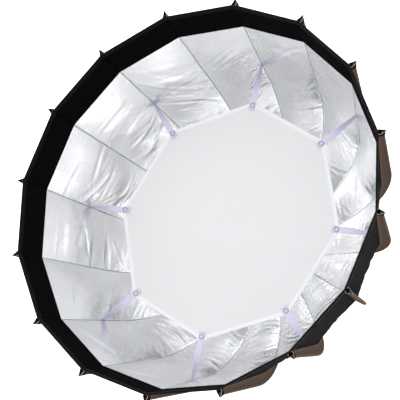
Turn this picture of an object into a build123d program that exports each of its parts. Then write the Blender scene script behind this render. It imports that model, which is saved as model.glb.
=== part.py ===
from build123d import *
import os
from math import cos, radians, sin, tan

# A deep folding octabox with sixteen ribs, standing on its lamp mount with the opening up.
# +Z is the axis from the lamp to the opening, and the origin is the centre of the mount's rear end.
# Every rib part is drawn once on the XZ half-plane, as radius and height, and then turned about Z.

# Whole shape, millimetres
RIB_COUNT = 16
RIB_STEP = 360 / RIB_COUNT
HALF_STEP = RIB_STEP / 2
FIRST_RIB_AZIMUTH = 90.0
CREASE = cos(radians(HALF_STEP))  # a panel's mid radius over its radius at the rib

# Shell: a straight wall, one bend and a shallower straight back, given at a rib's crease
SHELL_RIM = (450.0, 490.0)
SHELL_BEND = (318.2, 143.0)
SHELL_HUB = (112.0, 51.2)
SHELL_BEND_RADIUS = 279.0
SHELL_THICKNESS = 1.2
PANEL_GAP = 0.3  # each side of the line where two ribs' panels meet
PANEL_REACH = 120.0  # longer than half the rim's side, and cut at the crease

# Rod of each rib, bowed outside the shell
HINGE = (92.0, 35.8)
ROD_BEND = (350.5, 150.9)
ROD_TIP = (460.8, 490.0)
ROD_BEND_RADIUS = 308.0
ROD_RADIUS = 2.5
ROD_SHORT_OF_RIM = 6.0

# Rod sleeve, sewn into the crease
SLEEVE_WIDTH = 8.0
SLEEVE_OVER_ROD = 4.2
SLEEVE_OFF_SHELL = 1.8
SLEEVE_CHANNEL_RADIUS = 2.9
SLEEVE_HUB_RADIUS = 132.0
CAP_WIDTH = 9.0
CAP_LENGTH = 13.0
CAP_GAP = 0.2
CAP_BORE_RADIUS = 2.7
HORN_OUT = 17.5
HORN_FORWARD = 7.0

# Rod holder, which turns on the hinge pin
HOLDER_HEEL = 8.0
HOLDER_LENGTH = 26.0
HOLDER_HALF_HEIGHT = 5.0
HOLDER_WIDTH = 9.0
HOLDER_SOCKET_START = 9.0
HOLDER_CORNER = 1.5
PIN_RADIUS = 2.0
PIN_CLEARANCE = 0.06
PIN_LENGTH = 17.0

# Speed ring
RING_BORE_RADIUS = 69.0
RING_LEDGE_RADIUS = 79.0
RING_OUTER_RADIUS = 104.0
RING_LIP_RADIUS = 107.0
RING_BOTTOM = 18.3
RING_LEDGE_TOP = 35.7
RING_FLOOR = 24.0
RING_TOP = 43.5
RING_LIP_BOTTOM = 32.6
RING_LIP_TOP = 36.0
SLOT_WIDTH = 9.8
SLOT_INNER_RADIUS = 82.0

COVER_INNER_RADIUS = 78.0
COVER_OUTER_RADIUS = 112.0
COVER_BOTTOM = 14.3
COVER_TOP = RING_BOTTOM
COVER_SCREWS = 8
SCREW_CIRCLE = 92.0
SCREW_RADIUS = 2.0
SCREW_HEAD_RADIUS = 3.8
SCREW_LENGTH = 18.0
SCREW_CLEARANCE = 0.05
SCREW_SLOT = (4.6, 0.9, 0.7)

# Locking collar round the speed ring
LOCK_INNER_RADIUS = 104.5
LOCK_OUTER_RADIUS = 110.0
LOCK_BOTTOM = 18.8
LOCK_TOP = 32.0
LOCK_GRIPS = 48
LOCK_GRIP_RADIUS = 1.2
LOCK_OPENING = 26.0  # degrees, for the knob's screw
LOCK_OPENING_SHIFT = 6.0

# S-type three-lug bayonet insert
MOUNT_BORE_RADIUS = 49.0
SPIGOT_RADIUS = 59.0
LUG_RADIUS = 64.5
LUG_THICKNESS = 4.5
LUG_ANGLE = 42.0
LUG_COUNT = 3
FLANGE_RADIUS = 76.0
FLANGE_BOTTOM = 13.0
FLANGE_TOP = 18.0
NECK_RADIUS = 68.7
NECK_TOP = 36.0
RETAINER_INNER_RADIUS = 60.0
RETAINER_OUTER_RADIUS = 76.0
RETAINER_TOP = 39.4

# Thumb screw that locks the insert's turn
KNOB_AZIMUTH = FIRST_RIB_AZIMUTH + HALF_STEP
KNOB_Z = 25.6
KNOB_SHANK_RADIUS = 2.5
KNOB_SHANK_CLEARANCE = 0.06
KNOB_INNER = 69.6
KNOB_HEAD = (117.0, 133.0)
KNOB_HEAD_RADIUS = 8.6
KNOB_FLUTES = 6
KNOB_FLUTE_RADIUS = 2.4

# Rear cuff, the shell's closed collar under the rod holders
CUFF_INNER = (107.4, 33.0)
CUFF_OUTER = (137.0, 46.2)
CUFF_THICKNESS = 1.2

# Inner baffle with its eight straps
BAFFLE_RADIUS = 285.0
BAFFLE_BOTTOM = 305.0
BAFFLE_THICKNESS = 1.2
STRAP_COUNT = 8
STRAP_WIDTH = 15.0
STRAP_THICKNESS = 1.2
STRAP_ENDS = (258.0, 377.0)
SNAP_RADIUS = 277.0
SNAP_HOLE_RADIUS = 2.4
SNAP_CAP_RADIUS = 6.7
SNAP_CAP_HEIGHT = 2.0
LAYER_GAP = 0.2


def offset_points(points, distance):
    """A three-point outline moved outwards, away from the axis and the opening."""
    start, bend, end = [Vector(r, z) for r, z in points]
    first = (bend - start).normalized()
    second = (end - bend).normalized()
    normals = [Vector(d.Y, -d.X) for d in (first, second)]
    middle = (normals[0] + normals[1]) / (1 + normals[0].dot(normals[1]))
    moved = (start + normals[0] * distance, bend + middle * distance, end + normals[1] * distance)
    return [(p.X, p.Y) for p in moved]


def bent_line(points, radius):
    """Two straight runs joined by one tangent arc."""
    return FilletPolyline(*points, radius=radius)


def band_face(inner_points, inner_radius, outer_points, outer_radius):
    """The face between two bent lines on the XZ plane."""
    inner = bent_line(inner_points, inner_radius)
    outer = bent_line(outer_points, outer_radius)
    ends = Line(inner_points[0], outer_points[0]) + Line(inner_points[-1], outer_points[-1])
    return Plane.XZ * make_face(inner + outer + ends)


def slab(face, width):
    """A solid of this width, centred on the XZ plane."""
    return extrude(face, width / 2, both=True)


def ring(inner_radius, outer_radius, bottom, top):
    """A plain ring round Z."""
    outline = Circle(outer_radius) - Circle(inner_radius)
    return extrude(Plane.XY.offset(bottom) * outline, top - bottom)


def at_azimuth(shape, azimuth):
    return Rot(0, 0, azimuth) * shape


def around(shape, count, first=0.0):
    """Separate copies spaced evenly about Z."""
    return [at_azimuth(shape, first + i * 360 / count) for i in range(count)]


def rib_azimuth(number):
    return FIRST_RIB_AZIMUTH + (number - 1) * RIB_STEP


def pie(radius, bottom, top, centre, width):
    """A wedge about Z, between two azimuths."""
    low, high = [radians(centre + side * width / 2) for side in (-1, 1)]
    corners = [(0, 0), (radius * cos(low), radius * sin(low)), (radius * cos(high), radius * sin(high))]
    return extrude(Plane.XY.offset(bottom) * make_face(Polyline(*corners, close=True)), top - bottom)


def shell_points():
    return [SHELL_HUB, SHELL_BEND, SHELL_RIM]


def rod_points():
    return [HINGE, ROD_BEND, ROD_TIP]


def point_on_run(points, first, radius):
    """The point of a straight run that starts at this index, where its radius has a given value."""
    (r0, z0), (r1, z1) = points[first], points[first + 1]
    return (radius, z0 + (radius - r0) * (z1 - z0) / (r1 - r0))


def make_gore():
    """One rib's share of the shell: a strip creased at the rib, half a panel to each side."""
    middle = [(r * CREASE, z) for r, z in shell_points()]
    half_thickness = SHELL_THICKNESS / 2
    face = band_face(
        offset_points(middle, -half_thickness),
        SHELL_BEND_RADIUS - half_thickness,
        offset_points(middle, half_thickness),
        SHELL_BEND_RADIUS + half_thickness,
    )
    panel = Pos(0, -PANEL_GAP, 0) * extrude(face, PANEL_REACH)
    half = split(at_azimuth(panel, HALF_STEP), bisect_by=Plane.XZ, keep=Keep.BOTTOM)
    return half + mirror(half, about=Plane.XZ)


def swept_rod(points, bend_radius, radius):
    path = Plane.XZ * bent_line(points, bend_radius)
    return sweep(Plane(origin=path @ 0, z_dir=path % 0) * Circle(radius), path)


def make_rod():
    """The steel rod, from its socket in the holder to its end inside the cap."""
    start = Vector(*HINGE) + holder_direction() * HOLDER_SOCKET_START
    last = Vector(*ROD_TIP)
    end = last + (Vector(*ROD_BEND) - last).normalized() * ROD_SHORT_OF_RIM
    return swept_rod([(start.X, start.Y), ROD_BEND, (end.X, end.Y)], ROD_BEND_RADIUS, ROD_RADIUS)


def holder_direction():
    return (Vector(*ROD_BEND) - Vector(*HINGE)).normalized()


def make_holder():
    """The plastic holder: a block on the hinge pin, with a socket for the rod."""
    along = holder_direction()
    frame = Plane(
        origin=(HINGE[0], 0, HINGE[1]), x_dir=(along.X, 0, along.Y), z_dir=(0, -1, 0)
    )
    length = HOLDER_LENGTH + HOLDER_HEEL
    outline = RectangleRounded(length, 2 * HOLDER_HALF_HEIGHT, HOLDER_CORNER)
    body = extrude(frame * Pos(length / 2 - HOLDER_HEEL, 0) * outline, HOLDER_WIDTH / 2, both=True)
    bore = extrude(frame * Circle(PIN_RADIUS + PIN_CLEARANCE), HOLDER_WIDTH, both=True)
    mouth = Plane(origin=frame.from_local_coords((HOLDER_SOCKET_START, 0, 0)), z_dir=frame.x_dir)
    socket = extrude(mouth * Circle(ROD_RADIUS), HOLDER_LENGTH)
    return body - bore - socket


def make_sleeve():
    """The rod sleeve: a tall fin between the crease and the rod, with a channel that holds the rod."""
    shell = [(SLEEVE_HUB_RADIUS, point_on_run(shell_points(), 0, SLEEVE_HUB_RADIUS)[1])]
    shell += [SHELL_BEND, SHELL_RIM]
    rod = [point_on_run(rod_points(), 0, SLEEVE_HUB_RADIUS), ROD_BEND, ROD_TIP]
    face = band_face(
        offset_points(shell, SLEEVE_OFF_SHELL),
        SHELL_BEND_RADIUS + SLEEVE_OFF_SHELL,
        offset_points(rod, SLEEVE_OVER_ROD),
        ROD_BEND_RADIUS + SLEEVE_OVER_ROD,
    )
    channel = swept_rod(rod_points(), ROD_BEND_RADIUS, SLEEVE_CHANNEL_RADIUS)
    fin = slab(face, SLEEVE_WIDTH) - channel
    return split(fin, bisect_by=cap_back_plane(CAP_GAP), keep=Keep.BOTTOM)


def wall_direction():
    return (Vector(*SHELL_RIM) - Vector(*SHELL_BEND)).normalized()


def cap_back_plane(gap):
    """The plane square to the wall that the cap's back lies on, moved back by a gap."""
    up = wall_direction()
    corner = Vector(*SHELL_RIM) - up * (CAP_LENGTH + gap)
    return Plane(origin=(corner.X, 0, corner.Y), x_dir=(0, 1, 0), z_dir=(up.X, 0, up.Y))


def make_cap():
    """The hard cap over the rod's end, with the small horn that points out and forward."""
    up = wall_direction()
    rim = Vector(*SHELL_RIM)
    foot = rim + Vector(SLEEVE_OFF_SHELL / up.Y, 0)
    out = rim + Vector(HORN_OUT, 0)
    back = rim - up * CAP_LENGTH
    across = Vector(up.Y, -up.X)
    corners = [
        foot,
        rim + Vector(HORN_OUT * 0.72, 0),
        rim + Vector(HORN_OUT * 0.94, HORN_FORWARD),
        out + Vector(1.2, HORN_FORWARD * 0.55),
        out + Vector(0.6, -3.0),
        back + across * HORN_OUT,
        back + across * SLEEVE_OFF_SHELL,
    ]
    face = Plane.XZ * make_face(Polyline(*[(p.X, p.Y) for p in corners], close=True))
    rod_end = Vector(*ROD_TIP)
    back_to_bend = (Vector(*ROD_BEND) - rod_end).normalized()
    start = rod_end + back_to_bend * (ROD_SHORT_OF_RIM - CAP_GAP)
    socket = Plane(origin=(start.X, 0, start.Y), z_dir=(back_to_bend.X, 0, back_to_bend.Y))
    return slab(face, CAP_WIDTH) - extrude(socket * Circle(CAP_BORE_RADIUS), 2 * CAP_LENGTH)


def slot_tool():
    """The space of one rod holder in the speed ring."""
    length = RING_LIP_RADIUS + 5 - SLOT_INNER_RADIUS
    outline = Pos(SLOT_INNER_RADIUS + length / 2, 0) * Rectangle(length, SLOT_WIDTH)
    return extrude(Plane.XY.offset(RING_FLOOR) * outline, 2 * RING_TOP - RING_FLOOR)


def pin_solid(radius):
    """A hinge pin along the tangent of rib azimuth zero."""
    centre = Plane(origin=(HINGE[0], 0, HINGE[1]), z_dir=(0, 1, 0))
    return extrude(centre * Circle(radius), PIN_LENGTH / 2, both=True)


def make_hinge_pins():
    return around(pin_solid(PIN_RADIUS), RIB_COUNT)


def screw_azimuth(number):
    return FIRST_RIB_AZIMUTH - HALF_STEP + number * 360 / COVER_SCREWS


def screw_solid(clearance):
    """A countersunk screw on the X side, pointing up from the cover's rear face."""
    radius = SCREW_RADIUS + clearance
    head = SCREW_HEAD_RADIUS + clearance
    outline = Polyline(
        (0, 0),
        (head, 0),
        (radius, head - radius),
        (radius, SCREW_LENGTH + clearance),
        (0, SCREW_LENGTH + clearance),
        close=True,
    )
    return Pos(SCREW_CIRCLE, 0, COVER_BOTTOM) * revolve(Plane.XZ * make_face(outline), Axis.Z)


def screw_holes():
    return [at_azimuth(screw_solid(SCREW_CLEARANCE), screw_azimuth(i)) for i in range(COVER_SCREWS)]


def make_cover_screws():
    length, width, depth = SCREW_SLOT
    slot = Pos(SCREW_CIRCLE, 0, COVER_BOTTOM + depth / 2) * Box(length, width, depth)
    screw = screw_solid(0) - slot
    return [at_azimuth(screw, screw_azimuth(i)) for i in range(COVER_SCREWS)]


def knob_shank(radius, inner, outer):
    """A bar along the knob's screw axis."""
    start = Plane(origin=(inner, 0, KNOB_Z), z_dir=(1, 0, 0))
    return at_azimuth(extrude(start * Circle(radius), outer - inner), KNOB_AZIMUTH)


def make_ring_body():
    """The speed ring: a bearing ledge, sixteen holder slots and a lip for the rear cuff."""
    body = ring(RING_BORE_RADIUS, RING_OUTER_RADIUS, RING_BOTTOM, RING_LEDGE_TOP)
    body += ring(RING_LEDGE_RADIUS, RING_OUTER_RADIUS, RING_LEDGE_TOP, RING_TOP)
    body += ring(RING_OUTER_RADIUS, RING_LIP_RADIUS, RING_LIP_BOTTOM, RING_LIP_TOP)
    body -= around(slot_tool(), RIB_COUNT)
    body -= around(pin_solid(PIN_RADIUS), RIB_COUNT)
    body -= screw_holes()
    return body - knob_shank(KNOB_SHANK_RADIUS + KNOB_SHANK_CLEARANCE, 0, 2 * RING_OUTER_RADIUS)


def make_ring_cover():
    cover = ring(COVER_INNER_RADIUS, COVER_OUTER_RADIUS, COVER_BOTTOM, COVER_TOP)
    edge = cover.edges().filter_by(GeomType.CIRCLE).group_by(Axis.Z)[0].sort_by(SortBy.RADIUS)[-1]
    return fillet(edge, 2.0) - screw_holes()


def make_lock_ring():
    """The turning collar, open where the thumb screw passes, with a scalloped grip."""
    collar = ring(LOCK_INNER_RADIUS, LOCK_OUTER_RADIUS, LOCK_BOTTOM, LOCK_TOP)
    height = LOCK_TOP - LOCK_BOTTOM
    groove = Pos(LOCK_OUTER_RADIUS + LOCK_GRIP_RADIUS / 2, 0, LOCK_BOTTOM + height / 2)
    collar -= around(groove * Cylinder(LOCK_GRIP_RADIUS, 2 * height), LOCK_GRIPS)
    opening_centre = KNOB_AZIMUTH - LOCK_OPENING_SHIFT
    return collar - pie(2 * LOCK_OUTER_RADIUS, 0, RING_TOP, opening_centre, LOCK_OPENING)


def make_insert():
    """The bayonet insert: a spigot with three lugs, a seating flange and a neck that turns."""
    insert = ring(MOUNT_BORE_RADIUS, SPIGOT_RADIUS, 0, FLANGE_BOTTOM)
    insert += ring(MOUNT_BORE_RADIUS, FLANGE_RADIUS, FLANGE_BOTTOM, FLANGE_TOP)
    insert += ring(MOUNT_BORE_RADIUS, NECK_RADIUS, FLANGE_TOP, NECK_TOP)
    lug_ring = ring(MOUNT_BORE_RADIUS, LUG_RADIUS, 0, LUG_THICKNESS)
    for i in range(LUG_COUNT):
        wedge = pie(2 * LUG_RADIUS, 0, LUG_THICKNESS, FIRST_RIB_AZIMUTH + i * 360 / LUG_COUNT, LUG_ANGLE)
        insert += lug_ring & wedge
    return insert


def make_knob():
    """The thumb screw: a shank through the speed ring and a fluted head."""
    shank = knob_shank(KNOB_SHANK_RADIUS, KNOB_INNER, KNOB_HEAD[0])
    head = knob_shank(KNOB_HEAD_RADIUS, *KNOB_HEAD)
    for i in range(KNOB_FLUTES):
        turn = radians(i * 360 / KNOB_FLUTES)
        across, up = KNOB_HEAD_RADIUS * cos(turn), KNOB_HEAD_RADIUS * sin(turn)
        start = Plane(origin=(KNOB_HEAD[0] + 3, across, KNOB_Z + up), z_dir=(1, 0, 0))
        head -= at_azimuth(extrude(start * Circle(KNOB_FLUTE_RADIUS), KNOB_HEAD[1]), KNOB_AZIMUTH)
    return shank + head


def make_cuff():
    """The fabric cuff that closes the shell round the speed ring, under the holders."""
    rise = Vector(0, CUFF_THICKNESS)
    inner, outer = Vector(*CUFF_INNER), Vector(*CUFF_OUTER)
    corners = [inner, outer, outer + rise, inner + rise]
    face = Plane.XZ * make_face(Polyline(*[(p.X, p.Y) for p in corners], close=True))
    return revolve(face, Axis.Z)


def snap_holes(bottom, height):
    hole = Pos(SNAP_RADIUS, 0, bottom + height / 2) * Cylinder(SNAP_HOLE_RADIUS, 4 * height)
    return around(hole, STRAP_COUNT)


def make_baffle():
    """The removable inner diffuser, an octagon with a corner at every second rib."""
    corners = [
        (BAFFLE_RADIUS * cos(radians(i * 360 / STRAP_COUNT)), BAFFLE_RADIUS * sin(radians(i * 360 / STRAP_COUNT)))
        for i in range(STRAP_COUNT)
    ]
    outline = Plane.XY.offset(BAFFLE_BOTTOM) * make_face(Polyline(*corners, close=True))
    sheet = extrude(outline, BAFFLE_THICKNESS)
    return sheet - snap_holes(BAFFLE_BOTTOM, BAFFLE_THICKNESS)


def make_straps():
    bottom = BAFFLE_BOTTOM + BAFFLE_THICKNESS + LAYER_GAP
    start, end = STRAP_ENDS
    strap = Pos((start + end) / 2, 0, bottom + STRAP_THICKNESS / 2) * Box(
        end - start, STRAP_WIDTH, STRAP_THICKNESS
    )
    strap -= Pos(SNAP_RADIUS, 0, bottom) * Cylinder(SNAP_HOLE_RADIUS, 4 * STRAP_THICKNESS)
    return around(strap, STRAP_COUNT)


def make_snaps():
    """The press studs: a cap above each strap, a post through both layers and a stud below."""
    top = BAFFLE_BOTTOM + BAFFLE_THICKNESS + 2 * LAYER_GAP + STRAP_THICKNESS
    bottom = BAFFLE_BOTTOM - LAYER_GAP
    post = SNAP_HOLE_RADIUS - LAYER_GAP
    outline = Polyline(
        (0, bottom - SNAP_CAP_HEIGHT),
        (SNAP_CAP_RADIUS - 1, bottom - SNAP_CAP_HEIGHT),
        (SNAP_CAP_RADIUS - 1, bottom),
        (post, bottom),
        (post, top),
        (SNAP_CAP_RADIUS, top),
        (SNAP_CAP_RADIUS, top + SNAP_CAP_HEIGHT),
        (0, top + SNAP_CAP_HEIGHT),
        close=True,
    )
    snap = Pos(SNAP_RADIUS, 0, 0) * revolve(Plane.XZ * make_face(outline), Axis.Z)
    return around(snap, STRAP_COUNT)


def fixed_parts():
    """Every node that isn't repeated at the ribs."""
    return {
        "ring_body": make_ring_body(),
        "ring_cover": make_ring_cover(),
        "hinge_pins": Compound(children=make_hinge_pins()),
        "cover_screws": Compound(children=make_cover_screws()),
        "rear_cuff": make_cuff(),
        "lock_ring": make_lock_ring(),
        "bayonet_insert": make_insert(),
        "insert_retainer": ring(RETAINER_INNER_RADIUS, RETAINER_OUTER_RADIUS, NECK_TOP, RETAINER_TOP),
        "insert_lock_knob": make_knob(),
        "inner_baffle": make_baffle(),
        "baffle_straps": Compound(children=make_straps()),
        "strap_snaps": Compound(children=make_snaps()),
    }


def rib_parts():
    """The solids of one rib, on the XZ half-plane."""
    return {
        "rib_rod": [make_rod(), make_holder()],
        "rod_sleeve": [make_sleeve(), make_cap()],
        "gore": [make_gore()],
    }


def write(name, shape):
    export_step(shape, f"parts/{name}.step")


os.makedirs("parts", exist_ok=True)
for name, shape in fixed_parts().items():
    write(name, shape)
for name, solids in rib_parts().items():
    for number in range(1, RIB_COUNT + 1):
        turned = [at_azimuth(solid, rib_azimuth(number)) for solid in solids]
        write(f"{name}_{number:02d}", Compound(children=turned))
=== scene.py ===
import math
from collections import namedtuple

import bpy
import numpy as np
from mathutils import Matrix, Vector


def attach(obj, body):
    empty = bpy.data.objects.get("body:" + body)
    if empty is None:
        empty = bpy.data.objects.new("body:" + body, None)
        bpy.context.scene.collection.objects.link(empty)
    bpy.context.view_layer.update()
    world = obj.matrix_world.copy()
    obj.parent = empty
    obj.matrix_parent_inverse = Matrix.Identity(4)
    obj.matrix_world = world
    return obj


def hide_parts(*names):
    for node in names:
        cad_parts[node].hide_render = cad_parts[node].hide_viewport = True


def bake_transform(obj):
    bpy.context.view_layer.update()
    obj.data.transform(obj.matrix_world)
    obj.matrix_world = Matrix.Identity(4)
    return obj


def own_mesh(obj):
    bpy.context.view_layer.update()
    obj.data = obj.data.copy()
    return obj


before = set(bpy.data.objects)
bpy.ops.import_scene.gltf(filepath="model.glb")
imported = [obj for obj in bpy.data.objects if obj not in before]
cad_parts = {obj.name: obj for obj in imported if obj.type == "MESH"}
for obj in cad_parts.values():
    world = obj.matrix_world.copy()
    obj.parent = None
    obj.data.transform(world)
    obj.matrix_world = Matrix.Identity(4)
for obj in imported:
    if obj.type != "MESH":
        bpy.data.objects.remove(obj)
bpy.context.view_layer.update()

MM = 0.001

# The ribs, as in the CAD model: metres, and +Z from the lamp to the opening
RIBS = 16
STEP = 2 * math.pi / RIBS
FIRST_AZIMUTH = math.pi / 2
CREASE = math.cos(STEP / 2)  # a panel's mid radius over its radius at the rib
SLOPE = math.tan(STEP / 2)  # half a panel's width over its mid radius
SHELL_POINTS = ((0.112, 0.0512), (0.3182, 0.143), (0.450, 0.490))
SHELL_ARC = 0.279
ROD_POINTS = ((0.092, 0.0358), (0.3505, 0.1509), (0.4608, 0.490))
ROD_ARC = 0.308

# Shell cloth: distances along it are from the rim
BAND_DEPTH = 67 * MM
SEGMENT_ENDS = (0.030, BAND_DEPTH, 0.12, 0.175, 0.23, 0.285, 0.34, 0.395, 0.45, 0.51)
ROW_STEP = 3.4 * MM
HALF_COLUMNS = 28
PANEL_WIDTH = 176 * MM  # at the rim
BELLY = 6 * MM  # how far the cloth's tension pulls it in between two ribs, at the bend
STRAP_DEPTH = 0.2
LINING_EDGE = -0.6 * MM  # the lining's distance outside the shell's middle, at a seam
OUTER_EDGE = 0.6 * MM
BAND_EDGE = -1.9 * MM
BINDING_DEPTH = 8 * MM
BINDING_HALF = 2.6 * MM  # half the binding's thickness

# Heights and pitches of the cloth's wrinkles
WANDER, WANDER_PITCH = 2.0 * MM, 60 * MM  # how far a fold strays from a straight line
PUCKER, PUCKER_PITCH, PUCKER_REACH = 0.45 * MM, 5.5 * MM, 9 * MM
SWELL = 1.0 * MM
GROOVE, GROOVE_WIDTH = 0.9 * MM, 1.6 * MM
OUTER_SLACK, OUTER_WRINKLE = 2.6 * MM, 1.3 * MM

# Inner baffle, its straps and their press studs
BAFFLE_RADIUS = 0.285
BAFFLE_Z = 0.3056
BAFFLE_HALF = 0.5 * MM  # half the cloth's thickness
BAFFLE_HEM = 9.5 * MM
HEM_RISE = 0.7 * MM
STRAP_WIDTH = 15 * MM
STRAP_THICKNESS = 1.1 * MM
STRAP_TAIL_RADIUS = 0.265
LEFT_TWISTED = (5, 7, 9, 11)  # the straps that turn the other way
ANCHOR_RADIUS = 0.379
STUD_PLACE = 0.277  # distance from the axis
STUD_RADIUS = 5.5 * MM
STUD_HALF_WIDTH, STUD_HALF_HEIGHT = 1.2 * MM, 0.9 * MM
STUD_RISE = 2.7 * MM


def rib_azimuth(number):
    return FIRST_AZIMUTH + (number - 1) * STEP


def unit(vector):
    vector = np.asarray(vector, float)
    return vector / np.linalg.norm(vector, axis=-1, keepdims=True)


def smooth(t):
    t = np.clip(t, 0, 1)
    return t * t * (3 - 2 * t)


def bump(t, low, high, soft):
    """1 between low and high, falling smoothly to 0 over soft outside them."""
    return smooth((t - low + soft) / soft) * smooth((high + soft - t) / soft)


class BentLine:
    """Two straight runs joined by a tangent arc, in radius and height, by the distance along them."""

    def __init__(self, points, radius):
        self.start, bend, end = [np.array(p, float) for p in points]
        first, second = unit(bend - self.start), unit(end - bend)
        self.angle = math.atan2(first[1], first[0])
        self.turn = math.acos(float(first @ second))
        tangent = radius * math.tan(self.turn / 2)
        self.radius = radius
        self.arc_start = float(np.linalg.norm(bend - self.start)) - tangent
        self.arc_end = self.arc_start + radius * self.turn
        self.length = self.arc_end + float(np.linalg.norm(end - bend)) - tangent

    def at(self, s):
        """The points there, and the outward normals."""
        s = np.asarray(s, float)
        angle = self.angle + np.clip(s - self.arc_start, 0, self.arc_end - self.arc_start) / self.radius
        normal = np.stack([np.sin(angle), -np.cos(angle)], -1)
        first = np.array([math.cos(self.angle), math.sin(self.angle)])
        last = np.array([math.cos(self.angle + self.turn), math.sin(self.angle + self.turn)])
        start_normal = np.array([first[1], -first[0]])
        point = self.start + np.minimum(s, self.arc_start)[..., None] * first
        point = point + self.radius * (normal - start_normal)
        return point + np.maximum(s - self.arc_end, 0)[..., None] * last, normal


PANEL_LINE = BentLine([(r * CREASE, z) for r, z in SHELL_POINTS], SHELL_ARC)
CREASE_LINE = BentLine(SHELL_POINTS, SHELL_ARC)
ROD_LINE = BentLine(ROD_POINTS, ROD_ARC)
SHELL_LENGTH = PANEL_LINE.length


def turned(points, azimuth):
    """Points (radius, across, height) at azimuth 0, turned about Z."""
    c, s = math.cos(azimuth), math.sin(azimuth)
    points = np.asarray(points, float)
    x, y, z = points[..., 0], points[..., 1], points[..., 2]
    return np.stack([x * c - y * s, x * s + y * c, z], -1)


# ---- Meshes ----


class Cloth:
    """Gathers grid patches into one mesh with their own normals, a UV map in metres and a material each."""

    def __init__(self):
        self.points, self.normals, self.faces, self.uvs, self.slots = [], [], [], [], []
        self.count = 0

    def patch(self, points, normals, uv, slot=0, around=False):
        """A grid of points [row, column, 3], facing the way its normals do, and joined up around its rows."""
        rows, columns = points.shape[:2]
        index = self.count + np.arange(rows * columns).reshape(rows, columns)
        if around:
            index = np.concatenate([index, index[:, :1]], 1)
        quads = np.stack([index[:-1, :-1], index[:-1, 1:], index[1:, 1:], index[1:, :-1]], -1).reshape(-1, 4)
        side = np.cross(points[:-1, 1:] - points[:-1, :-1], points[1:, :-1] - points[:-1, :-1])
        if (side * normals[:-1, :-1]).sum() < 0:
            quads = quads[:, ::-1]
        self.points.append(points.reshape(-1, 3))
        self.normals.append(normals.reshape(-1, 3))
        self.uvs.append(uv.reshape(-1, 2))
        self.faces.append(quads)
        self.slots.append(np.full(len(quads), slot))
        self.count += rows * columns

    def build(self, name, materials):
        points, faces = np.concatenate(self.points), np.concatenate(self.faces)
        mesh = bpy.data.meshes.new(name)
        mesh.from_pydata(points.tolist(), [], faces.tolist())
        mesh.polygons.foreach_set("material_index", np.concatenate(self.slots).astype(np.int32))
        mesh.polygons.foreach_set("use_smooth", np.ones(len(faces), bool))
        layer = mesh.uv_layers.new(name="cloth")
        layer.data.foreach_set("uv", np.concatenate(self.uvs)[faces.ravel()].astype(np.float32).ravel())
        for material in materials:
            mesh.materials.append(material)
        mesh.update()
        mesh.normals_split_custom_set_from_vertices(np.concatenate(self.normals).tolist())
        return link(name, mesh)


def link(name, data):
    obj = bpy.data.objects.new(name, data)
    bpy.context.scene.collection.objects.link(obj)
    return obj


def ring_faces(rows, count):
    """Quads between closed rows of that many points each."""
    faces = []
    for i in range(rows - 1):
        for j in range(count):
            low, high, after = i * count, (i + 1) * count, (j + 1) % count
            faces.append((low + j, low + after, high + after, high + j))
    return faces


def grid_normals(surface, u, v, step=0.2 * MM):
    """Normals of a surface function, from its slopes along u and v."""
    along_u = surface(u + step, v) - surface(u - step, v)
    along_v = surface(u, v + step) - surface(u, v - step)
    return unit(np.cross(along_u, along_v))


def noise(u, v, seed):
    """Smooth noise from -1 to 1, on a lattice of unit cells."""
    size = 64
    lattice = np.random.default_rng(seed).uniform(-1, 1, (size, size))
    u0, v0 = np.floor(u).astype(int), np.floor(v).astype(int)
    fu, fv = smooth(u - u0), smooth(v - v0)
    corner = [[lattice[(u0 + i) % size, (v0 + j) % size] for j in (0, 1)] for i in (0, 1)]
    low = corner[0][0] * (1 - fv) + corner[0][1] * fv
    high = corner[1][0] * (1 - fv) + corner[1][1] * fv
    return low * (1 - fu) + high * fu


def bend_with_rib(piece):
    """Bakes a piece's placement into its mesh."""
    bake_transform(piece)


# ---- Shell: sixteen creased strips, each a lining and an outer cloth ----

# A kind of tension fold: how many a panel has, and the ranges of their middles, widths in mm and steepness
FoldKind = namedtuple("FoldKind", "amount middle width steepness")
BROAD_FOLDS = FoldKind(9, (0.08, 0.16, 0.42), (8.0, 18.0), (0.02, 0.05))
FINE_FOLDS = FoldKind(30, (0.10, 0.36, 0.56), (2.4, 5.5), (0.04, 0.13))

# One fold, with its reach across the panel as start and end
Fold = namedtuple("Fold", "middle slope bow width height start end")


def half_width(d):
    """Half a panel's width at a distance from the rim."""
    return PANEL_LINE.at(SHELL_LENGTH - d)[0][..., 0] * SLOPE


def drag_folds(panel):
    """A panel's tension folds, which share a lean."""
    rng = np.random.default_rng(700 + panel)
    lean = rng.uniform(-0.7, 0.7)
    found = []
    for kind in [BROAD_FOLDS] * BROAD_FOLDS.amount + [FINE_FOLDS] * FINE_FOLDS.amount:
        middle = rng.triangular(*kind.middle)
        slope = lean + rng.normal(0, 0.22)
        width = rng.uniform(*kind.width) * MM
        height = width * rng.uniform(*kind.steepness) * rng.choice((-1, 1))
        start = rng.uniform(-1.5, 0.2)
        bow = rng.normal(0, 9) * MM
        end = start + rng.uniform(0.8, 2.2)
        found.append(Fold(middle, slope, bow, width, height, start, end))
    return found


def anchor_folds(panel):
    """Short folds that fan out from a strap's anchor, at whichever side of the panel has the strap."""
    rng = np.random.default_rng(800 + panel)
    side = -1 if panel % 2 else 1
    found = []
    for slope in np.linspace(-1.1, 1.3, 6) + rng.uniform(-0.15, 0.15, 6):
        middle = STRAP_DEPTH + slope * half_width(STRAP_DEPTH)
        width = rng.uniform(2.4, 3.6) * MM
        reach = rng.uniform(0.35, 0.75)
        height = -rng.uniform(0.15, 0.45) * MM
        start, end = sorted((side * 0.97, side * (1 - reach)))
        found.append(Fold(middle, -side * slope, 0.0, width, height, start, end))
    return found


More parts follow.
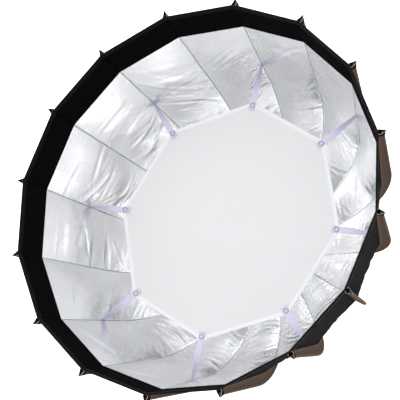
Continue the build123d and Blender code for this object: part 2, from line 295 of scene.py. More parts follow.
def fold_height(fold, c, x, d):
    """One fold: a rounded ridge with a shallower hollow beside it, fading at its ends."""
    across = (d - fold.middle - fold.slope * x - fold.bow * (1 - c * c)) / fold.width
    profile = np.exp(-across ** 2) - 0.55 * np.exp(-((across - 1.7) / 1.3) ** 2)
    return fold.height * profile * bump(c, fold.start, fold.end, 0.3)


def belly(inside, d):
    """How far outwards tension moves the cloth between its ribs: it's inwards, so less than 0."""
    return -BELLY * inside * bump(d, 0.22, 0.42, 0.2)


def lining_shape(panel, c, d):
    """How far outwards the lining lies from its flat panel."""
    x = c * half_width(d)
    inside = np.clip(1 - c * c, 0, 1)
    wander = WANDER * noise(x / WANDER_PITCH, d / WANDER_PITCH, 600 + panel)
    folds = 0.0 * x
    for fold in drag_folds(panel) + anchor_folds(panel):
        folds = folds + fold_height(fold, c, x, d + wander)
    edge_distance = (1 - np.abs(c)) * half_width(d)
    pucker = noise(d / PUCKER_PITCH, x / 0.02, 1500 + panel) * np.exp(-edge_distance / PUCKER_REACH)
    folds = folds * inside ** 0.4 + PUCKER * pucker * smooth(edge_distance / 0.003)
    swell = SWELL * inside * noise(x / 0.06, d / 0.07, 3000 + panel)
    groove = GROOVE * np.exp(-(edge_distance / GROOVE_WIDTH) ** 2)
    fade_in = smooth((d - BAND_DEPTH) / 0.05 + 0.25)
    return belly(inside, d) + fade_in * (folds + swell) + groove


def outer_shape(panel, c, d):
    """How far outwards the outer cloth lies: slack lengthwise wrinkles over a slight hollow."""
    x = c * half_width(d)
    inside = np.clip(1 - c * c, 0, 1)
    long = noise(x / 0.011, d / 0.16, 4000 + panel) + 0.5 * noise(x / 0.006, d / 0.07, 4100 + panel)
    return belly(inside, d) + inside * (OUTER_SLACK + OUTER_WRINKLE * long)


def level(panel, c, d):
    """A shape with no wrinkles."""
    return 0.0 * c


def panel_surface(panel, edge, shape):
    """A function from (c, d) to points, with c from -1 at one rib to 1 at the next and d from the rim."""
    azimuth = rib_azimuth(panel) + STEP / 2

    def surface(c, d):
        c = np.clip(c, -1, 1)
        point, normal = PANEL_LINE.at(SHELL_LENGTH - d)
        offset = edge + shape(panel, c, d)
        radius = point[..., 0] + offset * normal[..., 0]
        half = (point[..., 0] + edge * normal[..., 0]) * SLOPE
        height = point[..., 1] + offset * normal[..., 1]
        return turned(np.stack([radius, c * half, height], -1), azimuth)

    return surface


def strip_sides(number):
    """The two half panels of a rib's strip, as the panel and its columns from the crease to the middle."""
    before = (number - 2) % RIBS + 1
    columns = 1 - np.linspace(0, 1, HALF_COLUMNS) ** 1.35
    return ((number, -columns), (before, columns))


def panel_uv(panel, c, d):
    """Distance round the rim and distance from it, in metres."""
    return np.stack(np.broadcast_arrays((panel + 0.5 * (c + 1)) * PANEL_WIDTH, d), -1)


def add_layer(cloth, number, low, high, edge, shape, inward, slot):
    """One layer of a strip between two distances from the rim."""
    rows = np.linspace(low, high, max(2, round((high - low) / ROW_STEP) + 1))
    for panel, columns in strip_sides(number):
        c, d = np.meshgrid(columns, rows)
        surface = panel_surface(panel, edge, shape)
        points = surface(c, d)
        normals = grid_normals(surface, c, d)
        out = turned(np.array([1.0, 0.0, -0.4]), rib_azimuth(number))
        facing = normals[len(normals) // 2, HALF_COLUMNS // 2] @ out
        normals = normals * (-1 if (facing > 0) == inward else 1)
        cloth.patch(points, normals, panel_uv(panel, c, d), slot)


def add_binding(cloth, number, slot):
    """The tape folded over the rim, as a rounded U seen end on."""
    turn = np.linspace(0, math.pi, 9)
    across = np.concatenate([[-BINDING_HALF], -BINDING_HALF * np.cos(turn), [BINDING_HALF]])
    depth = np.concatenate([[BINDING_DEPTH], -BINDING_HALF * np.sin(turn), [BINDING_DEPTH]])
    spread = unit(np.stack([across, np.minimum(depth, 0) * -1 + 1e-6], -1))
    up = PANEL_LINE.at(SHELL_LENGTH)[1]
    along = np.array([-up[1], up[0]])
    for panel, columns in strip_sides(number):
        c, i = np.meshgrid(columns, np.arange(len(across)))
        azimuth = rib_azimuth(panel) + STEP / 2
        point, normal = PANEL_LINE.at(SHELL_LENGTH - depth[i])
        radius = point[..., 0] + across[i] * normal[..., 0]
        height = point[..., 1] + across[i] * normal[..., 1]
        points = turned(np.stack([radius, c * radius * SLOPE, height], -1), azimuth)
        flat = spread[i][..., :1] * up + spread[i][..., 1:] * along
        normals = turned(np.stack([flat[..., 0], 0 * c, flat[..., 1]], -1), azimuth)
        cloth.patch(points, unit(normals), panel_uv(panel, c, across[i] + depth[i]), slot)


def add_band_edge(cloth, number, slot):
    """The small step from the rim band down to the lining."""
    for panel, columns in strip_sides(number):
        band = panel_surface(panel, BAND_EDGE, level)
        lining = panel_surface(panel, LINING_EDGE, lining_shape)
        c = columns[None, :]
        d = np.full_like(c, BAND_DEPTH)
        points = np.concatenate([band(c, d), lining(c, d)])
        down = unit(band(c, d + MM) - band(c, d))
        cloth.patch(points, np.concatenate([down, down]), panel_uv(panel, c, points[..., 2]), slot)


def narrow_with_rib(strip, number):
    """Moves a strip with its rib, on a mesh of its own."""
    rib = f"rib_{number:02d}"
    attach(strip, rib)
    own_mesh(strip)


def make_strip(number, part, low, high, materials):
    """One length of a rib's strip, between two distances from the rim."""
    cloth = Cloth()
    cloth_start = max(low, BINDING_DEPTH - MM)
    if high <= BAND_DEPTH:
        add_layer(cloth, number, cloth_start, high, BAND_EDGE, level, True, 1)
    else:
        add_layer(cloth, number, low, high, LINING_EDGE, lining_shape, True, 0)
    if high == BAND_DEPTH:
        add_band_edge(cloth, number, 1)
    if low == 0:
        add_binding(cloth, number, 3)
    add_layer(cloth, number, cloth_start, high, OUTER_EDGE, outer_shape, False, 2)
    strip = cloth.build(f"shell_{number:02d}_{part}", materials)
    narrow_with_rib(strip, number)
    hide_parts(f"gore_{number:02d}")


# ---- Rod sleeves and caps ----

SLEEVE_STATIONS = 150
SLEEVE_HUB_RADIUS = 0.132
SLEEVE_WALL = 3.9 * MM  # the head's radius, round the rod
CAP_LENGTH = 13 * MM
# Half a sleeve's outline between its seam and its head: (share of the rod's distance, half width in mm)
SLEEVE_FOOT = ((0.0, 5.0), (0.10, 4.1), (0.25, 3.1), (0.45, 2.6))


def sleeve_section(rod):
    """Half a sleeve's outline across a rod at that distance, from the seam to the crest: (out, across)."""
    turn = np.linspace(-0.6, math.pi / 2, 9)
    head = [(rod + SLEEVE_WALL * math.sin(t), 0.92 * SLEEVE_WALL * math.cos(t)) for t in turn]
    foot = [(share * rod, half * MM) for share, half in SLEEVE_FOOT]
    return np.array(foot + head)


def rod_distance(foot, normal):
    """How far the rod is from points on the crease, straight out along their normals."""
    rod_points = ROD_LINE.at(np.linspace(0, ROD_LINE.length, 2000))[0]
    gap = rod_points[None] - foot[:, None]
    side = gap[..., 0] * normal[:, 1:] * -1 + gap[..., 1] * normal[:, :1]
    nearest = np.argmin(np.abs(side), 1)
    return (gap[np.arange(len(foot)), nearest] * normal).sum(-1)


def sleeve_points(s):
    """A sleeve's rows of points at distances along the crease, at azimuth 0."""
    foot, normal = CREASE_LINE.at(s)
    rows = []
    for start, out, rod in zip(foot, normal, rod_distance(foot, normal)):
        section = sleeve_section(rod)
        both = np.concatenate([section * (1, 1), (section * (1, -1))[::-1][1:]])
        reach, across = both[:, :1] + 0.5 * MM, both[:, 1]
        place = start + reach * out
        rows.append(np.stack([place[:, 0], across, place[:, 1]], -1))
    return np.array(rows)


def make_sleeve(number, material):
    """The brown sleeve: a fin from the shell's crease out to the bowed rod."""
    seam_start = (SLEEVE_HUB_RADIUS - SHELL_POINTS[0][0]) / math.cos(CREASE_LINE.angle)
    s = np.linspace(seam_start, CREASE_LINE.length - CAP_LENGTH * 0.9, SLEEVE_STATIONS)
    points = sleeve_points(s)
    along = np.broadcast_to(s[:, None], points.shape[:2])
    around = np.broadcast_to(np.linspace(-1, 1, points.shape[1]), points.shape[:2])
    slack = 0.35 * MM * noise(along / 0.018, around * 2.5, 70 + number) * (1 - np.abs(around) ** 4)
    sway = 0.8 * MM * noise(along / 0.09, around * 0.7, 170 + number) * np.cos(around * 2.0)
    points[..., 1] += slack + sway
    normals = unit(np.cross(np.gradient(points, axis=1), np.gradient(points, axis=0)))
    if normals[len(s) // 2, 0, 1] < 0:
        normals = -normals
    cloth = Cloth()
    azimuth = rib_azimuth(number)
    uv = np.stack([around * 0.03, along], -1)
    cloth.patch(turned(points, azimuth), turned(normals, azimuth), uv)
    sleeve = cloth.build(f"rod_sleeve_cloth_{number:02d}", [material])
    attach(sleeve, f"rib_{number:02d}")
    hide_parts(f"rod_sleeve_{number:02d}")


# Half outlines of the sleeve's black end, from the seam outwards, in mm: (out, half width)
CAP_FOOT = ((0.2, 5.7), (1.5, 5.8), (4.0, 5.2), (7.0, 4.8), (10.0, 4.7),
            (12.5, 4.5), (14.3, 3.6), (15.3, 2.0), (15.7, 0.6))
MOUTH = ((0.4, 4.8), (1.2, 6.2), (3.0, 6.4), (6.0, 5.8), (9.0, 4.7),
         (12.0, 3.4), (14.5, 2.2), (16.6, 1.2), (18.0, 0.5))
MOUTH_MIDDLE = 7.0
MOUTH_SHIFT = (0.8, 1.0)  # from the shell's rim: outwards and up
HORN_RISE = 6.0
# The cap's rows: (height from the mouth, share of the outline, share of the way from its foot to its mouth)
CAP_ROWS = ((-13.0, 0.97, 0.0), (-12.6, 1.0, 0.0), (-8.0, 1.0, 0.4), (-4.0, 1.0, 0.85), (-0.5, 1.0, 1.0),
            (0.0, 0.985, 1.0), (0.0, 0.90, 1.0), (-0.6, 0.88, 1.0), (-5.0, 0.85, 0.9), (-5.5, 0.50, 0.9))
CUT_EDGE_ROWS = (4, 5)  # the rows of faces round the lip


def cap_points():
    """The cap's rows of points at azimuth 0: up its outside, over the lip and down into the pocket."""
    rim = np.array(SHELL_POINTS[2])
    up = unit(rim - np.array(SHELL_POINTS[1]))
    out = np.array([up[1], -up[0]])
    rows = []
    for height, share, opened in CAP_ROWS:
        half = (1 - opened) * np.array(CAP_FOOT) + opened * np.array(MOUTH)
        loop = np.concatenate([half, (half * (1, -1))[::-1]])
        reach = share * (loop[:, 0] - MOUTH_MIDDLE)
        rise = HORN_RISE * np.clip(reach / (MOUTH[-1][0] - MOUTH_MIDDLE), 0, 1) ** 1.8 * opened
        away, lift = MOUTH_MIDDLE + reach + MOUTH_SHIFT[0], MOUTH_SHIFT[1] + height + rise
        place = rim + MM * (away[:, None] * out + lift[:, None] * up)
        rows.append(np.stack([place[:, 0], MM * share * loop[:, 1], place[:, 1]], -1))
    return np.array(rows)


def make_cap(number, black, tan):
    """The sleeve's black end: an open pocket with a cut edge round its mouth, drawn out into a horn."""
    points = turned(cap_points(), rib_azimuth(number))
    rows, count = points.shape[:2]
    slots = [int(i in CUT_EDGE_ROWS) for i in range(rows - 1) for j in range(count)]
    pocket_floor = tuple((rows - 1) * count + j for j in range(count))
    mesh = bpy.data.meshes.new(f"rod_cap_{number:02d}")
    mesh.from_pydata(points.reshape(-1, 3).tolist(), [], [*ring_faces(rows, count), pocket_floor])
    mesh.polygons.foreach_set("material_index", [*slots, 0])
    mesh.polygons.foreach_set("use_smooth", np.ones(len(mesh.polygons), bool))
    for material in (black, tan):
        mesh.materials.append(material)
    cap = link(mesh.name, mesh)
    soften = cap.modifiers.new("soften", "SUBSURF")
    soften.levels = soften.render_levels = 2
    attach(cap, f"rib_{number:02d}")
    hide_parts(f"rod_sleeve_{number:02d}")


# ---- Inner baffle, straps and press studs ----

# Rows of the baffle, as shares of the way to its edge, closer together at the step up to the hem
BAFFLE_ROWS = np.concatenate([np.linspace(0.0, 0.960, 60), [0.9655, 0.969], np.linspace(0.975, 1.0, 5)])
HEM_ROW = 61


def baffle_edge_radius(azimuth):
    """The octagon's radius there. Its corners are at the odd ribs."""
    eighth = math.pi / 4
    turn = (azimuth - FIRST_AZIMUTH) % eighth
    return BAFFLE_RADIUS * math.cos(eighth / 2) / np.cos(turn - eighth / 2)


def baffle_height(radius, azimuth):
    """The cloth's height: a slight sag, pulled flat towards its corners, with soft tension folds there."""
    share = radius / BAFFLE_RADIUS
    corner = np.cos(4 * (azimuth - FIRST_AZIMUTH))
    sag = -3.0 * MM * (1 - share ** 2)
    pull = 0.5 * MM * share ** 4 * np.cos(24 * (azimuth - FIRST_AZIMUTH)) * (corner > 0) * corner
    x, y = radius * np.cos(azimuth), radius * np.sin(azimuth)
    return BAFFLE_Z + sag + pull + 0.35 * MM * noise(x / 0.06 + 20, y / 0.06 + 20, 42)


def make_baffle_sector(number, materials):
    """The part of the baffle in front of one rib."""
    angles = np.linspace(-STEP / 2, STEP / 2, 19) + rib_azimuth(number)
    a, share = np.meshgrid(angles, BAFFLE_ROWS)
    edge = baffle_edge_radius(a)
    radius = edge * share
    hem = HEM_RISE * (edge - radius < BAFFLE_HEM)
    cloth = Cloth()

    def surface(side):
        height = baffle_height(radius, a) + side * (BAFFLE_HALF + hem)
        return np.stack([radius * np.cos(a), radius * np.sin(a), height], -1)

    for side in (1, -1):
        points = surface(side)
        slopes = np.cross(np.gradient(points, axis=1), np.gradient(points, axis=0))
        slopes[0] = (0, 0, -1 if slopes[5, 5, 2] < 0 else 1)
        normals = unit(slopes)
        normals = normals * np.sign(normals[..., 2:]) * side
        for slot, part in enumerate((slice(0, HEM_ROW + 1), slice(HEM_ROW, None))):
            cloth.patch(points[part], normals[part], points[part, :, :2], slot)
    rim = np.stack([surface(1)[-1], surface(-1)[-1]])
    outward = unit(np.stack([np.cos(angles), np.sin(angles), 0 * angles], -1))
    cloth.patch(rim, np.stack([outward, outward]), rim[..., :2], 1)
    piece = cloth.build(f"baffle_sector_{number:02d}", materials)
    bend_with_rib(piece)
    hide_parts("inner_baffle")


def strap_frame(t, hand):
    """Centre, width direction and face direction of a strap at share t from its tail to the seam.
    It turns a quarter, to the side that hand, 1 or -1, gives."""
    foot_z = BAFFLE_Z + 1.7 * MM
    radius = STRAP_TAIL_RADIUS + t * (ANCHOR_RADIUS - 1.5 * MM - STRAP_TAIL_RADIUS)
    corner = (BAFFLE_RADIUS - STRAP_TAIL_RADIUS) / (ANCHOR_RADIUS - STRAP_TAIL_RADIUS)
    free = np.clip((t - corner) / (1 - corner), 0, 1)
    twist = math.pi / 2 * smooth(free * 1.02)
    sag = -1.5 * MM * np.sin(math.pi * free)
    centre = np.stack([radius, 0 * t, foot_z + sag + 0 * t], -1)
    flat = np.array([0.0, 1.0, 0.0])
    on_edge = np.array([-0.355, 0.0, 0.935])  # the sewn end's width, leaning inwards
    upright = on_edge * smooth(free)[:, None] ** 0.3 + np.array([0, 0, 0.4]) * (1 - free)[:, None]
    width = unit(np.cos(twist)[:, None] * flat + hand * np.sin(twist)[:, None] * upright)
    face = unit(np.cross(np.array([1.0, 0.0, 0.0]), width))
    return centre, width, face


def make_strap(number, material):
    """A tape from the seam to the baffle's corner, turned a quarter on its way."""
    t = np.linspace(0, 1, 70)
    centre, width, face = strap_frame(t, -1 if number in LEFT_TWISTED else 1)
    turn = np.linspace(0, 2 * math.pi, 28, endpoint=False)[None, :]
    half, thin = STRAP_WIDTH / 2, STRAP_THICKNESS / 2
    across = half * np.sign(np.cos(turn)) * np.abs(np.cos(turn)) ** 0.35
    over = thin * np.sign(np.sin(turn)) * np.abs(np.sin(turn)) ** 0.5
    points = centre[:, None] + across[..., None] * width[:, None] + over[..., None] * face[:, None]
    normals = unit(np.cross(np.gradient(points, axis=1), np.gradient(points, axis=0)))
    outside = (normals * (points - centre[:, None])).sum(-1).mean()
    normals = normals * (1 if outside > 0 else -1)
    flats = unit(face[:, None] * np.sign(over)[..., None] + 0.15 * normals)
    normals = np.where((np.abs(across) < 0.93 * half)[..., None], flats, normals)
    azimuth = rib_azimuth(number)
    cloth = Cloth()
    uv = np.stack(np.broadcast_arrays(across, t[:, None] * 0.12), -1)
    cloth.patch(turned(points, azimuth), turned(normals, azimuth), uv, around=True)
    strap = cloth.build(f"strap_{number:02d}", [material])
    bend_with_rib(strap)
    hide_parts("baffle_straps")


def lathe(name, outline, segments, centre, material):
    """A turned solid about a vertical line, from a closed outline of (radius, height)."""
    turn = np.linspace(0, 2 * math.pi, segments, endpoint=False)
    points = [(centre[0] + r * math.cos(a), centre[1] + r * math.sin(a), centre[2] + z)
              for r, z in outline for a in turn]
    faces = [[i % len(points) for i in reversed(face)] for face in ring_faces(len(outline) + 1, segments)]
    mesh = bpy.data.meshes.new(name)
    mesh.from_pydata(points, [], faces)
    mesh.polygons.foreach_set("use_smooth", np.ones(len(faces), bool))
    mesh.materials.append(material)
    return link(name, mesh)


def make_stud(number, material):
    """A press stud's ring cap on the strap."""
    azimuth = rib_azimuth(number)
    centre = (STUD_PLACE * math.cos(azimuth), STUD_PLACE * math.sin(azimuth), BAFFLE_Z + STUD_RISE)
    turn = np.linspace(0, 2 * math.pi, 14, endpoint=False)
    outline = [(STUD_RADIUS + STUD_HALF_WIDTH * math.cos(t), STUD_HALF_HEIGHT * math.sin(t)) for t in turn]
    stud = lathe(f"press_stud_{number:02d}", outline, 40, centre, material)
    bend_with_rib(stud)
    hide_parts("strap_snaps")


# ---- Rear cuff ----

CUFF_START = (0.1078, 0.0330)  # radius and height at its inner edge
CUFF_GAIN = (0.0292, 0.0132)  # how much both gain to its outer edge
CUFF_NORMAL = unit(np.array([0.41, -0.91]))
CUFF_THICKNESS = 1.0 * MM


def make_cuff(material):
    """The gathered fabric cuff round the speed ring."""
    a, t = np.meshgrid(np.linspace(0, 2 * math.pi, 385), np.linspace(0, 1, 14))
    radius = CUFF_START[0] + t * CUFF_GAIN[0]
    gather = 0.5 * MM * t * np.cos(16 * (a - FIRST_AZIMUTH)) + 0.25 * MM * t * np.cos(96 * a)
    height = CUFF_START[1] + t * CUFF_GAIN[1] - gather
    low = np.stack([radius * np.cos(a), radius * np.sin(a), height], -1)
    down = np.stack([CUFF_NORMAL[0] * np.cos(a), CUFF_NORMAL[0] * np.sin(a), CUFF_NORMAL[1] + 0 * a], -1)
    cloth = Cloth()
    for side, lift in ((1, 0), (-1, CUFF_THICKNESS)):
        cloth.patch(low + (0, 0, lift), unit(side * down), np.stack([a * 0.12, t * 0.03], -1))
    cuff = cloth.build("rear_cuff_cloth", [material])
    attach(cuff, "speed_ring")
    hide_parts("rear_cuff")


# ---- Materials ----


def srgb(*values):
    """Linear colour from 0-255 sRGB values."""
    return tuple(((v / 255 + 0.055) / 1.055) ** 2.4 if v > 10 else v / 255 / 12.92 for v in values)


class Shader:
    """A Principled material with helpers for its patterns."""

    def __init__(self, name, color, roughness, **inputs):
        self.material = bpy.data.materials.new(name)
        self.material.use_nodes = True
        self.nodes, self.links = self.material.node_tree.nodes, self.material.node_tree.links
        self.surface = self.nodes["Principled BSDF"]
        self.surface.inputs["Base Color"].default_value = (*color, 1)
        self.surface.inputs["Roughness"].default_value = roughness
        for key, value in inputs.items():
            self.surface.inputs[key.replace("_", " ")].default_value = value
        self.color = color

    def fill(self, socket, value):
        """Links a socket to another one, or gives it a value."""
        if isinstance(value, bpy.types.NodeSocket):
            self.links.new(value, socket)
        else:
            socket.default_value = value

    def node(self, kind, **inputs):
        node = self.nodes.new("ShaderNode" + kind)
        for key, value in inputs.items():
            self.fill(node.inputs[key.replace("_", " ")], value)
        return node

    def math(self, operation, first, second):
        node = self.nodes.new("ShaderNodeMath")
        node.operation = operation
        for socket, value in zip(node.inputs, (first, second)):
            self.fill(socket, value)
        return node.outputs[0]

    def coordinates(self, kind="Object", scale=(1, 1, 1)):
        source = self.node("TexCoord").outputs[kind]
        return self.node("Mapping", Vector=source, Scale=scale).outputs["Vector"]

    def noise(self, vector, scale, detail=2.0, roughness=0.5):
        node = self.node("TexNoise", Vector=vector, Scale=scale, Detail=detail, Roughness=roughness)
        return node.outputs["Fac"]

    def streaks(self, angle, across, along):
        """Noise stretched along a line at that angle to the rib, with that many streaks to the metre."""
        source = self.node("TexCoord").outputs["UV"]
        leaning = self.node("Mapping", Vector=source, Rotation=(0, 0, angle)).outputs["Vector"]
        stretched = self.node("Mapping", Vector=leaning, Scale=(across, along, 1)).outputs["Vector"]
        return self.noise(stretched, 1.0)

    def waves(self, vector, scale, direction):
        node = self.node("TexWave", Vector=vector, Scale=scale)
        node.bands_direction = direction
        return node.outputs["Fac"]

    def weave(self, vector, threads):
        """Over and under threads, with that many to the metre."""
        across = self.waves(vector, threads / 20, "X")
        along = self.waves(vector, threads / 20, "Y")
        return self.math("MULTIPLY", across, along)

    def spread(self, value, low, high):
        """A 0-1 value mapped to a range."""
        return self.node("MapRange", Value=value, To_Min=low, To_Max=high).outputs[0]

    def seam(self, from_middle):
        """1 beside a panel's seams, further than that share of its width from its middle."""
        split = self.node("SeparateXYZ", Vector=self.coordinates("UV", (1 / PANEL_WIDTH, 1, 1)))
        place = self.math("FRACT", split.outputs[0], 0.0)
        away = self.math("ABSOLUTE", self.math("SUBTRACT", place, 0.5), 0.0)
        return self.math("GREATER_THAN", away, from_middle)

    def vary_color(self, value, dark, light):
        """The base colour times a factor from dark to light."""
        mix = self.node("Mix", Factor=value)
        mix.data_type = "RGBA"
        first, second = mix.inputs[6], mix.inputs[7]  # the colour sockets, whose names other sockets share
        first.default_value = (*[c * dark for c in self.color], 1)
        second.default_value = (*[c * light for c in self.color], 1)
        self.links.new(mix.outputs[2], self.surface.inputs["Base Color"])

    def vary_roughness(self, value, low, high):
        self.links.new(self.spread(value, low, high), self.surface.inputs["Roughness"])

    def bump(self, height, distance, strength):
        node = self.node("Bump", Height=height, Distance=distance, Strength=strength)
        self.links.new(node.outputs[0], self.surface.inputs["Normal"])


def silver_material():
    """Silver coated cloth: leaning tension streaks, fine cross wrinkles and painted shade in a thin line
    along each seam.
    """
    shader = Shader("silver_lining", (0.95, 0.955, 0.965), 0.3, Metallic=0.95)
    patches = shader.noise(shader.coordinates("UV"), 30, 3.0)
    regions = shader.spread(shader.noise(shader.coordinates("UV"), 7, 1.0), -2.0, 3.0)
    right, left = shader.streaks(0.35, 130, 9), shader.streaks(-0.45, 110, 8)
    leaning = shader.node("Mix", A=right, B=left, Factor=regions).outputs[0]
    across = shader.streaks(0.0, 14, 170)
    shader.vary_roughness(shader.math("MULTIPLY", patches, leaning), 0.18, 0.42)
    # Painted shade: a thin darker line beside each seam, standing in for the shade in its groove.
    clear = shader.math("SUBTRACT", 1.0, shader.math("MULTIPLY", shader.seam(0.4935), 0.5))
    shader.vary_color(shader.math("MULTIPLY", clear, shader.spread(patches, 0.88, 1.0)), 0.25, 1.0)
    weave = shader.weave(shader.coordinates("UV"), 900)
    fine = shader.math("MULTIPLY", shader.math("ADD", across, weave), 0.15)
    shader.bump(shader.math("ADD", leaning, fine), 0.0006, 0.5)
    return shader.material


def band_material():
    """The loop pile band for the front cover's hook tape."""
    shader = Shader("rim_band", srgb(10, 10, 11), 1.0, IOR=1.1)
    cloth = shader.coordinates("UV")
    fleck = shader.noise(cloth, 70, 5.0, 0.7)
    clear = shader.math("SUBTRACT", 1.0, shader.seam(0.4935))
    shader.vary_color(shader.math("MULTIPLY", fleck, clear), 0.3, 1.6)
    shader.bump(shader.noise(cloth, 900, 4.0, 0.7), 0.0009, 0.8)
    return shader.material


def nylon_material():
    shader = Shader("black_nylon", srgb(30, 30, 31), 0.9, Specular_IOR_Level=0.0)
    cloth = shader.coordinates("UV")
    shader.vary_roughness(shader.noise(cloth, 90, 4.0), 0.5, 0.75)
    # Painted highlight and shade: lengthwise light and dark streaks in the colour, standing in for light
    # catching on the slack cloth's creases.
    shader.vary_color(shader.noise(shader.coordinates("UV", (9, 1, 1)), 22, 5.0, 0.65), 0.5, 1.9)
    shader.bump(shader.weave(cloth, 800), 0.0003, 0.6)
    return shader.material


def binding_material():
    shader = Shader("rim_binding", srgb(13, 13, 14), 0.8, IOR=1.2)
    cloth = shader.coordinates("UV")
    shader.vary_color(shader.noise(cloth, 160, 4.0), 0.8, 1.4)
    shader.bump(shader.waves(cloth, 45, "X"), 0.0003, 0.6)
    return shader.material


def brown_material():
    shader = Shader("brown_cloth", srgb(91, 76, 66), 0.8, IOR=1.03)
    cloth = shader.coordinates("UV")
    shader.vary_color(shader.noise(shader.coordinates("UV", (3, 1, 1)), 35, 5.0, 0.6), 0.82, 1.15)
    shader.vary_roughness(shader.noise(cloth, 120, 4.0), 0.62, 0.85)
    height = shader.math("ADD", shader.weave(cloth, 1000), shader.noise(cloth, 300, 4.0))
    shader.bump(height, 0.0003, 0.6)
    return shader.material


def edge_material():
    """The pale cut edge round a cap's mouth."""
    shader = Shader("tan_edge", srgb(186, 175, 163), 0.7)
    shader.vary_color(shader.noise(shader.coordinates(), 700, 4.0), 0.8, 1.1)
    shader.bump(shader.noise(shader.coordinates(), 1500, 3.0), 0.0003, 0.5)
    return shader.material


def cap_material():
    """The matt leathercloth of the sleeves' ends."""
    shader = Shader("cap_black", srgb(13, 13, 14), 0.85, IOR=1.08)
    shader.vary_color(shader.noise(shader.coordinates(), 90, 4.0), 0.7, 1.5)
    shader.bump(shader.noise(shader.coordinates(), 1400, 3.0), 0.0003, 0.6)
    return shader.material


def plastic_material(name, color, roughness):
    shader = Shader(name, color, roughness)
    shader.vary_roughness(shader.noise(shader.coordinates(), 60, 4.0), roughness - 0.08, roughness + 0.12)
    shader.vary_color(shader.noise(shader.coordinates(), 25, 4.0), 0.85, 1.15)
    shader.bump(shader.noise(shader.coordinates(), 1800, 3.0), 0.00015, 0.5)
    return shader.material


def diffusion_material(name, color):
    """White cloth that lets part of the light through."""
    shader = Shader(name, color, 0.95, Sheen_Weight=0.1)
    cloth = shader.coordinates("UV")
    shader.vary_color(shader.noise(cloth, 14, 4.0), 0.985, 1.01)
    shader.bump(shader.weave(cloth, 900), 0.00015, 0.4)
    glow = shader.node("BsdfTranslucent", Color=(*color, 1))
    mix = shader.node("MixShader", Fac=0.45)
    shader.links.new(shader.surface.outputs[0], mix.inputs[1])
    shader.links.new(glow.outputs[0], mix.inputs[2])
    shader.links.new(mix.outputs[0], shader.nodes["Material Output"].inputs["Surface"])
    return shader.material


def tape_material():
    shader = Shader("lavender_tape", srgb(199, 196, 219), 0.8, IOR=1.3)
    cloth = shader.coordinates("UV")
    shader.vary_color(shader.noise(cloth, 70, 4.0), 0.94, 1.04)
    shader.bump(shader.weave(cloth, 1100), 0.0003, 0.7)
    return shader.material


def metal_material(name, color, roughness):
    """Metal with fine level marks, as turning about Z leaves."""
    shader = Shader(name, color, roughness, Metallic=1.0)
    marks = shader.noise(shader.coordinates(scale=(1, 1, 12)), 140, 4.0)
    shader.vary_roughness(marks, roughness * 0.8, roughness * 1.35)
    shader.bump(shader.noise(shader.coordinates(scale=(1, 1, 20)), 400, 3.0), 0.00008, 0.5)
    return shader.material


def rod_material():
    """Drawn steel, and black plastic for the holder near the hub and the rod's end."""
    shader = Shader("rod_steel", (0.5, 0.5, 0.52), 0.32, Metallic=1.0)
    place = shader.node("SeparateXYZ", Vector=shader.node("TexCoord").outputs["Object"]).outputs
    x_squared = shader.math("MULTIPLY", place[0], place[0])
    y_squared = shader.math("MULTIPLY", place[1], place[1])
    radius = shader.math("SQRT", shader.math("ADD", x_squared, y_squared), 0.0)
    past_holder = shader.math("GREATER_THAN", radius, 0.1182)
    before_end = shader.math("LESS_THAN", radius, 0.452)
    steel = shader.math("MULTIPLY", past_holder, before_end)
    shader.vary_color(steel, 0.04, 1.0)
    shader.links.new(steel, shader.surface.inputs["Metallic"])
    shader.vary_roughness(steel, 0.5, 0.3)
    return shader.material


def paint(node, material):
    """Gives a CAD node this material in every slot."""
    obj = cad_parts[node]
    if not obj.material_slots:
        obj.data.materials.append(material)
    for material_slot in obj.material_slots:
        material_slot.link = "OBJECT"
        material_slot.material = material


def paint_hub():
    """Materials of the CAD parts that show as they are."""
    plastic = plastic_material("ring_plastic", srgb(38, 38, 40), 0.42)
    grip = plastic_material("grip_plastic", srgb(28, 28, 30), 0.55)
    anodised = metal_material("anodised_aluminium", (0.60, 0.60, 0.62), 0.30)
    steel = metal_material("screw_steel", (0.42, 0.42, 0.43), 0.30)
    for node, material in {
        "ring_body": plastic, "ring_cover": plastic, "lock_ring": grip, "insert_lock_knob": grip,
        "bayonet_insert": anodised, "insert_retainer": anodised,
        "hinge_pins": steel, "cover_screws": steel,
    }.items():
        paint(node, material)
    rods = rod_material()
    for number in range(1, RIBS + 1):
        paint(f"rib_rod_{number:02d}", rods)


# ---- Camera, floor and light ----


def make_camera():
    """The viewing position: in front of the opening and to one side, rolled with the object."""
    rim_radius, rim_height = SHELL_POINTS[2]
    camera = link("camera", bpy.data.cameras.new("camera"))
    right, up = Vector((0.8631, 0.2136, -0.4578)), Vector((-0.0761, 0.9509, 0.3002))
    back = right.cross(up).normalized()
    turn = Matrix((right, up, back)).transposed().to_4x4()
    place = Vector((0, 0, rim_height)) + rim_radius * Vector((4.557, -2.040, 7.538))
    camera.matrix_world = Matrix.Translation(place) @ turn
    camera.data.sensor_width, camera.data.lens = 36.0, 166.27
    camera.data.clip_end = 100
    bpy.context.scene.camera = camera


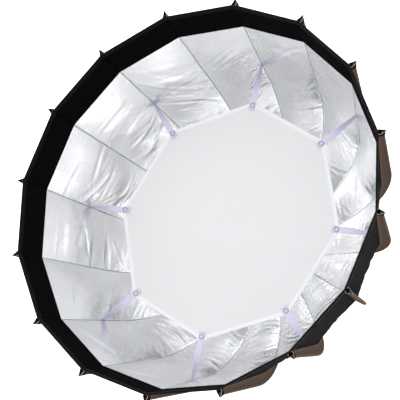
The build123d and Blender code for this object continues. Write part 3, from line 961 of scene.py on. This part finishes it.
def make_floor():
    """A plain pale floor that glows, so that it fades into the world behind it."""
    size = 30.0
    corners = [(-size, -size, 0), (size, -size, 0), (size, size, 0), (-size, size, 0)]
    mesh = bpy.data.meshes.new("floor")
    mesh.from_pydata(corners, [], [(0, 1, 2, 3)])
    shader = Shader("floor", (0.9, 0.9, 0.9), 0.9, Emission_Color=(1, 1, 1, 1), Emission_Strength=0.85)
    mesh.materials.append(shader.material)
    link("floor", mesh)


def area_light(name, azimuth, elevation, power):
    """A square studio light, aimed at the softbox from that direction."""
    target, distance = Vector((0, 0, 0.4)), 3.8
    sideways = math.cos(elevation)
    away = Vector((math.cos(azimuth) * sideways, math.sin(azimuth) * sideways, math.sin(elevation)))
    data = bpy.data.lights.new(name, "AREA")
    data.shape, data.size, data.energy = "SQUARE", 1.6, power
    light = link(name, data)
    light.location = target + distance * away
    light.rotation_mode = "QUATERNION"
    light.rotation_quaternion = away.to_track_quat("Z", "Y")


def make_light():
    """A bright even world and four square lights, shown with no film curve."""
    world = bpy.data.worlds.new("studio")
    world.use_nodes = True
    background = world.node_tree.nodes["Background"]
    background.inputs["Color"].default_value = (1, 1, 1, 1)
    background.inputs["Strength"].default_value = 0.92
    bpy.context.scene.world = world
    bpy.context.scene.view_settings.view_transform = "Standard"
    lights = (("key", 180, 38, 32), ("top", 225, 62, 30), ("side", 90, 38, 34), ("front", 0, 38, 16))
    for name, azimuth, elevation, power in lights:
        area_light(name, math.radians(azimuth), math.radians(elevation), power)


# ---- Assembly ----


def make_object():
    shell = [silver_material(), band_material(), nylon_material(), binding_material()]
    brown, tan, cap_black = brown_material(), edge_material(), cap_material()
    edges = (0.0, *SEGMENT_ENDS, SHELL_LENGTH)
    for number in range(1, RIBS + 1):
        for part, (low, high) in enumerate(zip(edges, edges[1:])):
            make_strip(number, part, low, high, shell)
        make_sleeve(number, brown)
        make_cap(number, cap_black, tan)
    diffusion = [diffusion_material("diffusion_cloth", (0.87, 0.877, 0.887)),
                 diffusion_material("baffle_hem", (0.95, 0.955, 0.965))]
    tape = tape_material()
    nickel = metal_material("nickel", (0.34, 0.34, 0.38), 0.25)
    for number in range(1, RIBS + 1):
        make_baffle_sector(number, diffusion)
    for number in range(1, RIBS + 1, 2):
        make_strap(number, tape)
        make_stud(number, nickel)
    make_cuff(shell[2])
    paint_hub()


make_camera()
make_floor()
make_light()
make_object()
